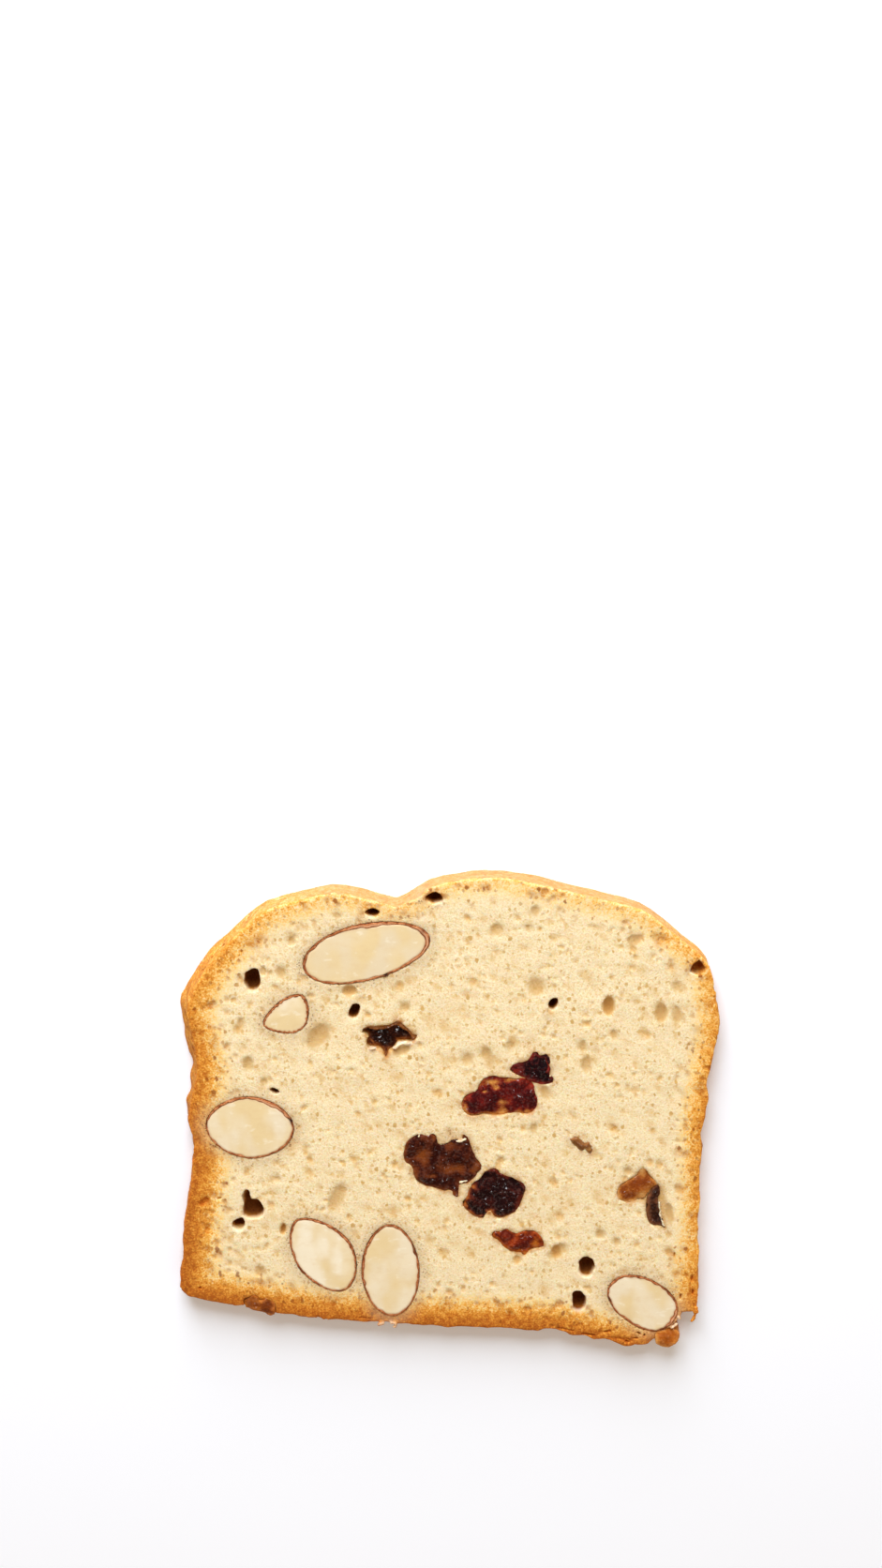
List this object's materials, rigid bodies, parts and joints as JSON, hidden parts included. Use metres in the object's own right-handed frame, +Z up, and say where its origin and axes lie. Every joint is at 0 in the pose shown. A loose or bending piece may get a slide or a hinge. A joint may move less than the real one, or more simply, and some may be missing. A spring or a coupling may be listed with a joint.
{
  "type": "biscotti",
  "caption": "Thin baked biscotti slice with a toasted crust, cut almonds and dried fruit, lying on its back.",
  "frame": {"origin": "under the middle of the slice's bounding box, on the surface that it rests on", "axes": "+X across the slice, +Y from its flat base to its rounded top, +Z up out of the shown cut face"},
  "size_m": [0.1008, 0.0968, 0.0045],
  "materials": {
    "crumb": "dry porous crumb, toasted golden to brown at the rim",
    "almond": "smooth cut kernel, creamy, with a thin reddish brown skin",
    "dark_fruit": "sticky dried fruit, near black to dark red, with a soft gloss",
    "raisin": "wrinkled dried fruit, dark to amber brown, with a soft gloss"
  },
  "bodies": {
    "root": {"slice": "crumb", "almond_upper": "almond", "almond_small": "almond", "almond_left": "almond", "almond_base_left": "almond", "almond_base_mid": "almond", "almond_corner": "almond", "cherry_recessed": "dark_fruit", "cherry_small": "dark_fruit", "cherry_red": "dark_fruit", "cherry_black": "dark_fruit", "cherry_amber": "dark_fruit", "raisin_large": "raisin", "raisin_gold": "raisin", "raisin_sliver": "raisin", "raisin_base": "raisin", "raisin_corner": "raisin", "raisin_bit": "raisin"}
  },
  "joints": []
}
